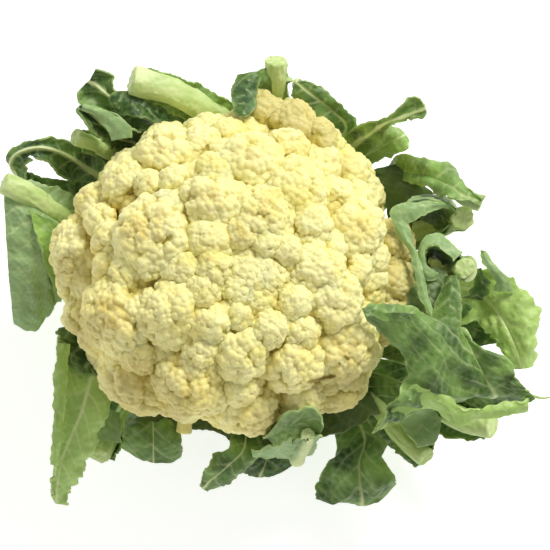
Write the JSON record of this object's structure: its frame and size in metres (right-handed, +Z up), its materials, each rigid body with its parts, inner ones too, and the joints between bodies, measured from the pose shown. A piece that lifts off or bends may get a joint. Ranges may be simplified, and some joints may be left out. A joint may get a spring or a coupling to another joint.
{
  "type": "cauliflower",
  "caption": "Trimmed head of cauliflower standing on its cut stalk: a domed pale curd of packed florets with a ring of short, torn and curled green leaves.",
  "frame": {"origin": "centre of the flat cut end of the stalk, on the surface that the head stands on", "axes": "+Z up the stalk, +X to the right and +Y away for a person who looks at the head from the front"},
  "size_m": [0.2518, 0.2034, 0.1388],
  "materials": {
    "curd": "matte",
    "stalk": "matte",
    "leaf": "satin"
  },
  "bodies": {
    "root": {"curd": "curd", "stalk": "stalk", "leaf_top": "leaf", "leaf_top_left_rib": "leaf", "leaf_upper_left_lobes": "leaf", "leaf_upper_left_fold": "leaf", "leaf_left_cut_rib": "leaf", "leaf_left_long": "leaf", "leaf_left_hanging": "leaf", "leaf_lower_left_long": "leaf", "leaf_lower_left_cut_rib": "leaf", "leaf_bottom_left_square": "leaf", "leaf_bottom_lens": "leaf", "leaf_bottom_dark": "leaf", "leaf_bottom_curl": "leaf", "leaf_bottom_right_large": "leaf", "leaf_lower_right_short_rib": "leaf", "leaf_lower_right_cut_rib": "leaf", "leaf_over_curd": "leaf", "leaf_right_large": "leaf", "leaf_right_small_curl": "leaf", "leaf_right_curl": "leaf", "leaf_right_upper": "leaf", "leaf_right_round_lobe": "leaf", "leaf_right_ladle": "leaf", "leaf_top_right": "leaf"}
  },
  "joints": []
}
